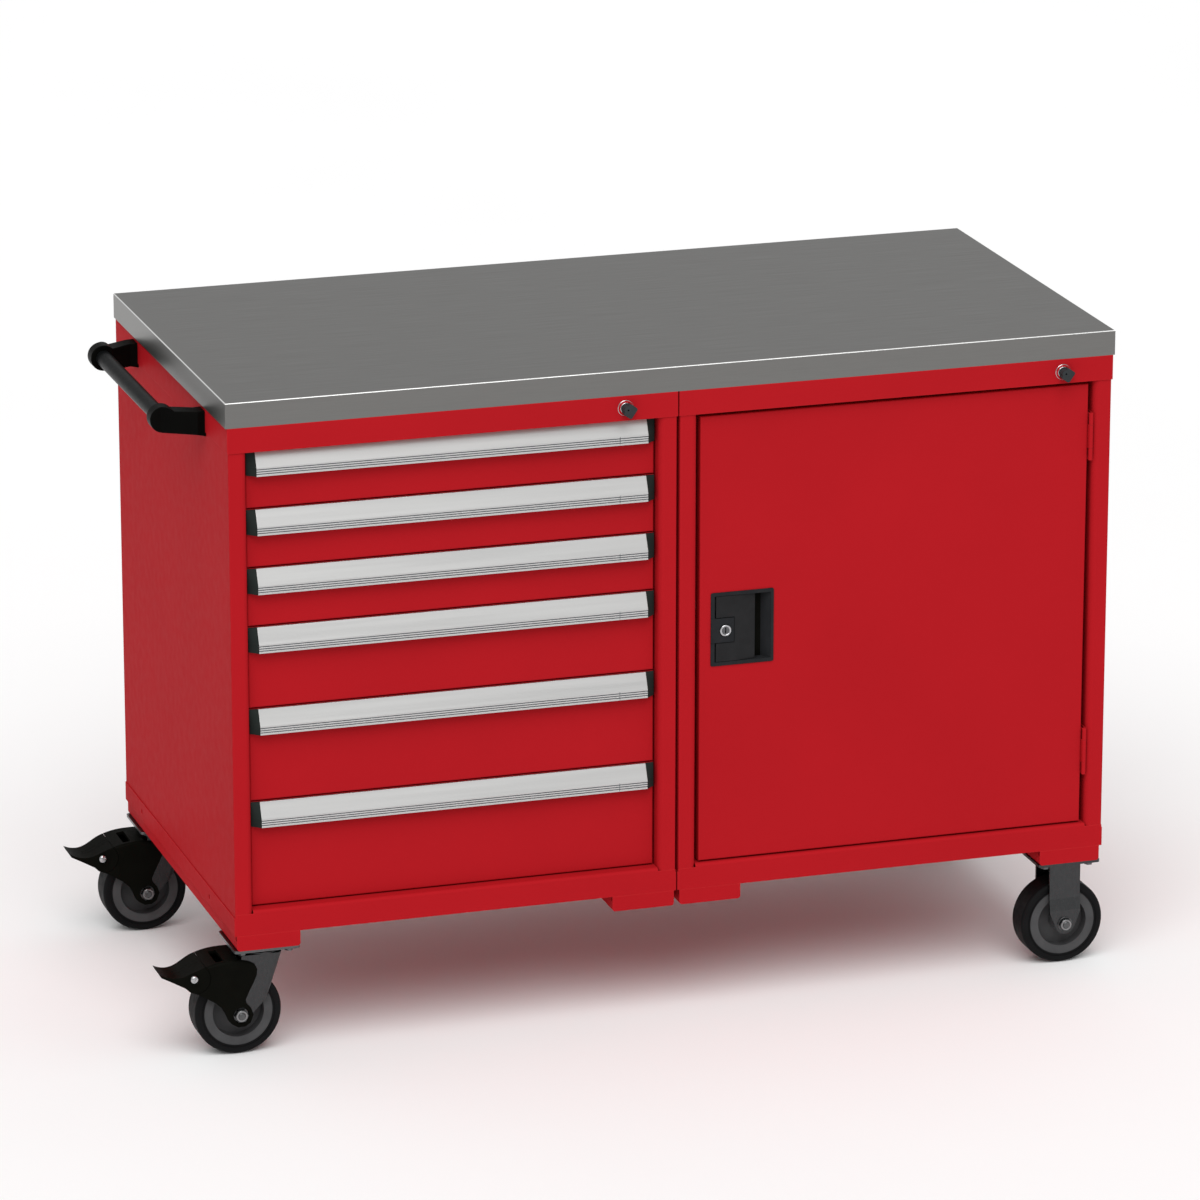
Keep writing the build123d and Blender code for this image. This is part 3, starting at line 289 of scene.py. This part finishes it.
ALONG_X = (0.02, 1, 1)
ALONG_Y = (1, 0.01, 1)
RED = red_paint("red_paint", rgb(171, 26, 33), 1.0)
RED_DOOR = red_paint("red_paint_door", rgb(171, 26, 33), 4.0)
# Near-white painted highlight on the worktop's rounded edges.
STAINLESS = brushed_metal("brushed_stainless", rgb(121, 120, 118), 0.36, ALONG_X, 3.0,
                          bump=0.000002, vary=0.035, edge=rgb(255, 255, 254), grain=900)
# Light painted highlight along the handles' sharp edges.
ALUMINIUM = brushed_metal("satin_aluminium", rgb(198, 198, 197), 0.4, ALONG_X, 6.0,
                          bump=0.000003, vary=0.02, rim=rgb(240, 240, 240))
# Painted shade: a darker grey metal for the faces inside the handle grooves, standing in for their shadow.
GROOVE_SHADE = brushed_metal("groove_painted_shade", rgb(104, 108, 112), 0.5, ALONG_X, 16.0, bump=0.000004, vary=0.05)
ZINC = brushed_metal("zinc_steel", rgb(68, 69, 70), 0.26, (1, 1, 0.4), 9.0, bump=0.000008, vary=0.08)
PLATE_ZINC = brushed_metal("zinc_plate", rgb(96, 97, 98), 0.3, (1, 1, 1), 19.0, bump=0.000008, vary=0.08)
SLIDE_STEEL = brushed_metal("slide_steel", rgb(190, 192, 194), 0.35, ALONG_Y, 12.0)
CHROME = brushed_metal("lock_chrome", rgb(182, 182, 184), 0.2, (1, 1, 1), 15.0, bump=0.000004, vary=0.05)
DULL_CHROME = brushed_metal("plug_chrome", rgb(96, 96, 98), 0.24, (1, 1, 1), 17.0, bump=0.000004, vary=0.1)
NUT_ZINC = brushed_metal("nut_zinc", rgb(134, 135, 136), 0.24, (1, 1, 1), 21.0, bump=0.000004, vary=0.08)
BLACK = plastic("black_plastic", rgb(13, 13, 10), 0.42, seed=2.0, shine=0.012)
BRACKET_BLACK = plastic("bracket_plastic", rgb(9, 9, 8), 0.36, seed=3.0, shine=0.02)
CAP_BLACK = plastic("end_cap_plastic", rgb(38, 44, 42), 0.38, seed=5.0)
LATCH_BLACK = plastic("latch_plastic", rgb(38, 39, 41), 0.45, seed=7.0)
PADDLE_BLACK = plastic("paddle_plastic", rgb(39, 39, 40), 0.4, seed=8.0)
KEY_BLACK = plastic("key_plastic", rgb(52, 55, 57), 0.4, seed=9.0)
BAR_GREY = plastic("bar_coating", rgb(16, 17, 18), 0.32, seed=11.0, scale=1200, shine=0.035)
HUB_GREY = plastic("hub_plastic", rgb(74, 74, 75), 0.5, seed=13.0, scale=900, shine=0.06)
TYRE = rubber("tyre_rubber")
BOARD = board("pressed_board")


def paint(material, *nodes):
    for node in nodes:
        slots = NODES[node].data.materials
        slots.clear()
        slots.append(material)


def paint_faces(material, node, chosen):
    """Gives a second material to the faces of a node for which chosen(face) is true."""
    mesh = NODES[node].data
    mesh.materials.append(material)
    for face in mesh.polygons:
        if chosen(face):
            face.material_index = len(mesh.materials) - 1


# Painted regions, in mm; FACING is the least part of a face's normal that counts as facing front or back.
GROOVE_DEPTHS = (0.05, 0.95)
GROOVE_BAND = (26, 38)
COLLAR_FLAT = (9.4, 12)
POCKET_DEPTH = 12
FACING = 0.9


def paint_groove_shade(node):
    """Painted shade in the fine grooves along the lower front of a drawer handle, below its top edge by
    GROOVE_BAND mm.
    """
    low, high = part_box(node)
    near, far = GROOVE_DEPTHS
    upper, lower = GROOVE_BAND

    def in_groove(face):
        depth = face.center.y - low.y
        return near * MM < depth < far * MM and high.z - lower * MM < face.center.z < high.z - upper * MM

    paint_faces(GROOVE_SHADE, node, in_groove)


def paint_lock_collars():
    """The flat of each top lock's collar is painted like the cabinet, with a bare rim and barrel."""
    centres = [JOINTS[name]["pos_m"] for name in ("drawer_key_turn", "cabinet_key_turn")]

    def on_flat(face):
        reach = min(math.hypot(face.center.x - x, face.center.z - z) for x, _, z in centres)
        return COLLAR_FLAT[0] * MM < reach < COLLAR_FLAT[1] * MM

    paint_faces(RED, "top_lock_barrels", on_flat)


def paint_latch_pocket():
    """The floor of the latch's recess is black."""
    floor_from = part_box("latch_housing")[0].y + POCKET_DEPTH * MM
    paint_faces(BLACK, "latch_housing",
                lambda face: abs(face.normal.y) > FACING and face.center.y > floor_from)


def paint_nodes():
    for node in NODES:
        paint(RED, node)
    paint(RED_DOOR, "door_panel")
    paint(STAINLESS, "worktop_skin")
    paint(BOARD, "worktop_core")
    for number in range(1, 7):
        paint(ALUMINIUM, f"drawer_{number}_handle")
        # Painted shade in the handle's grooves.
        paint_groove_shade(f"drawer_{number}_handle")
        paint(CAP_BLACK, f"drawer_{number}_end_caps")
    paint(BRACKET_BLACK, "push_handle_brackets")
    paint(BAR_GREY, "push_handle_bar")
    paint(LATCH_BLACK, "latch_housing")
    paint(PADDLE_BLACK, "latch_paddle")
    paint_latch_pocket()
    paint(DULL_CHROME, "latch_lock")
    paint(CHROME, "top_lock_barrels")
    paint_lock_collars()
    paint(KEY_BLACK, "drawer_lock_key", "cabinet_lock_key")
    paint(ZINC, "rigid_castor_frames")
    paint(PLATE_ZINC, "swivel_castor_plates", "castor_bolts", "latch_bolt")
    paint(SLIDE_STEEL, "slide_channels")
    for row in ("front", "rear"):
        paint(ZINC, f"swivel_fork_{row}")
        paint(BLACK, f"brake_housing_{row}", f"brake_pedal_{row}")
        for side in ("swivel", "rigid"):
            paint(TYRE, f"{side}_tyre_{row}")
            paint(HUB_GREY, f"{side}_hub_{row}")


# ---------------------------------------------------------------- small turned parts
TURN_STEPS = 40
SHARP_ANGLE = math.radians(35)
BLADE_LENGTH = 100 * MM


def turned(name, profile, centre, side, steps=TURN_STEPS, ring=False):
    """Solid of revolution about the y axis.

    profile is a run of (radius, reach) in mm, and side is -1 towards the front.
    """
    shape = bmesh.new()
    loops = []
    for radius, reach in profile:
        if radius == 0:
            loops.append([shape.verts.new((0, side * reach * MM, 0))])
            continue
        angles = [2 * math.pi * step / steps for step in range(steps)]
        places = [(radius * MM * math.cos(a), side * reach * MM, radius * MM * math.sin(a)) for a in angles]
        loops.append([shape.verts.new(place) for place in places])
    pairs = list(zip(loops, loops[1:])) + ([(loops[-1], loops[0])] if ring else [])
    for inner, outer in pairs:
        for step in range(steps):
            after = (step + 1) % steps
            corners = [inner[step % len(inner)], inner[after % len(inner)],
                       outer[after % len(outer)], outer[step % len(outer)]]
            shape.faces.new(list(dict.fromkeys(corners)))
    bmesh.ops.recalc_face_normals(shape, faces=shape.faces)
    mesh = bpy.data.meshes.new(name)
    shape.to_mesh(mesh)
    shape.free()
    mesh.shade_smooth()
    mesh.set_sharp_from_angle(angle=SHARP_ANGLE)
    piece = bpy.data.objects.new(name, mesh)
    piece.location = centre
    bpy.context.collection.objects.link(piece)
    return piece


def cut_slot(piece, side, width, depth, reach, angle):
    """Saws a straight slot across the head of a turned part."""
    blade = bmesh.new()
    bmesh.ops.create_cube(blade, size=1)
    scale = Matrix.Diagonal((width * MM, depth * MM, BLADE_LENGTH, 1))
    place = Matrix.Translation((0, side * reach * MM, 0))
    bmesh.ops.transform(blade, matrix=place @ Matrix.Rotation(angle, 4, "Y") @ scale, verts=blade.verts)
    mesh = bpy.data.meshes.new("blade")
    blade.to_mesh(mesh)
    blade.free()
    tool = bpy.data.objects.new("blade", mesh)
    tool.location = piece.location
    bpy.context.collection.objects.link(tool)
    cut = piece.modifiers.new("slot", "BOOLEAN")
    cut.operation = "DIFFERENCE"
    cut.solver = "EXACT"
    cut.object = tool
    bpy.context.view_layer.update()
    ready = piece.evaluated_get(bpy.context.evaluated_depsgraph_get())
    result = bpy.data.meshes.new_from_object(ready)
    piece.modifiers.clear()
    piece.data = result
    result.set_sharp_from_angle(angle=SHARP_ANGLE)
    bpy.data.objects.remove(tool)
    bpy.data.meshes.remove(mesh)


def fit(piece, material, body):
    piece.data.materials.clear()
    piece.data.materials.append(material)
    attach(piece, body)


DOME = ((0, -1.5), (6.3, -1.5), (6.3, 0.4), (5.9, 1.4), (5.0, 2.3), (3.6, 3.0), (1.8, 3.4), (0, 3.5))
WASHER = ((6.2, 0), (12.2, 0), (12.2, 0.9), (11.8, 1.3), (6.2, 1.3))
BOLT_END = ((0, -1.4), (5.7, -1.4), (5.7, 1.0), (4.9, 1.9), (2.2, 1.9), (0, 0.9))
NUT_FACE_RING = ((6.1, -0.2), (9.2, -0.2), (9.2, 0.15), (8.7, 0.5), (6.1, 0.5))
PANEL_SCREW = ((0, -0.8), (4.2, -0.8), (4.2, 0.6), (3.4, 1.4), (1.8, 1.8), (0, 1.9))
LOCK_BEZEL = ((6.3, -0.3), (9.3, -0.3), (9.3, 0.5), (8.6, 1.1), (7.0, 1.1), (6.3, 0.5))


# In mm: how far the cover's screws, a castor's legs and its nuts lie from the middle of the cover or wheel.
COVER_SCREW_REACH = 39.6
LEG_REACH = 36.5
NUT_REACH = {"swivel": 46.0, "rigid": 42.5}
# The slot in a cover screw, in mm, its middle SLOT_REACH out from the screw's seat; angles in radians.
SLOT_WIDTH = 1.5
SLOT_DEPTH = 2.4
SLOT_REACH = 3.6
COVER_SCREW_ANGLES = {"near": 0.5, "far": 1.2}
PANEL_INSET = 14 * MM
PANEL_GAP = 2.5 * MM
PANEL_ROWS = 5
PANEL_SCREW_STEPS = 20


def cover_screws(row):
    """A domed slotted screw each side of the brake cover, where the pedal turns."""
    x, _, z = JOINTS[f"brake_pedal_press_{row}"]["pos_m"]
    low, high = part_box(f"brake_housing_{row}")
    middle = (low.y + high.y) / 2
    for side, word in ((-1, "near"), (1, "far")):
        place = (x, middle + side * COVER_SCREW_REACH * MM, z)
        screw = turned(f"cover_screw_{row}_{word}", DOME, place, side)
        cut_slot(screw, side, SLOT_WIDTH, SLOT_DEPTH, SLOT_REACH, COVER_SCREW_ANGLES[word])
        fit(screw, CHROME, f"swivel_{row}")


def axle_ends(kind, row, body):
    """Washer under each axle nut, the nut's raised face and the bolt's end."""
    low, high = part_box(f"{kind}_hub_{row}")
    centre = (low + high) / 2
    nut = NUT_REACH[kind]
    parts = (("washer", WASHER, LEG_REACH, True), ("nut_face", NUT_FACE_RING, nut, True),
             ("bolt_end", BOLT_END, nut, False))
    for side, word in ((-1, "near"), (1, "far")):
        for part, profile, reach, ring in parts:
            place = (centre.x, centre.y + side * reach * MM, centre.z)
            piece = turned(f"{kind}_{part}_{row}_{word}", profile, place, side, ring=ring)
            fit(piece, NUT_ZINC if part == "nut_face" else PLATE_ZINC, body)


def latch_bezel():
    """Bright ring round the latch's lock plug."""
    x, _, z = JOINTS["door_lock_turn"]["pos_m"]
    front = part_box("latch_lock")[0].y
    bezel = turned("latch_lock_ring", LOCK_BEZEL, (x, front, z), -1, ring=True)
    fit(bezel, CHROME, "door_lock")


def back_screws():
    """Screws holding the two back panels along their edges."""
    low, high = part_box("cabinet_backs")
    middle = (low.x + high.x) / 2
    last = PANEL_ROWS - 1
    count = 0
    for left, right in ((low.x, middle - PANEL_GAP), (middle + PANEL_GAP, high.x)):
        for x in (left + PANEL_INSET, (left + right) / 2, right - PANEL_INSET):
            for part in range(PANEL_ROWS):
                z = low.z + PANEL_INSET + (high.z - low.z - 2 * PANEL_INSET) * part / last
                if x == (left + right) / 2 and part not in (0, last):
                    continue
                count += 1
                screw = turned(f"back_screw_{count}", PANEL_SCREW, (x, high.y, z), 1, steps=PANEL_SCREW_STEPS)
                fit(screw, PLATE_ZINC, "frame")


def make_details():
    for row in ("front", "rear"):
        cover_screws(row)
        axle_ends("swivel", row, f"swivel_{row}")
        axle_ends("rigid", row, "frame")
    latch_bezel()
    back_screws()


def make_floor():
    mesh = bpy.data.meshes.new("floor")
    corners = [(x * FLOOR_REACH, y * FLOOR_REACH, 0) for x, y in ((-1, -1), (1, -1), (1, 1), (-1, 1))]
    mesh.from_pydata(corners, [], [(0, 1, 2, 3)])
    floor = bpy.data.objects.new("floor", mesh)
    bpy.context.collection.objects.link(floor)
    floor.location.z = CAD_BOX[0].z - FLOOR_GAP
    surface = Surface("floor", (0.93, 0.93, 0.93, 1), rough=0.9)
    surface.vary(0.6, 0.01)
    mesh.materials.append(surface.material)


make_camera()
make_world()
make_sun()
make_floor()
paint_nodes()
make_details()
bpy.context.scene.view_settings.view_transform = "Standard"
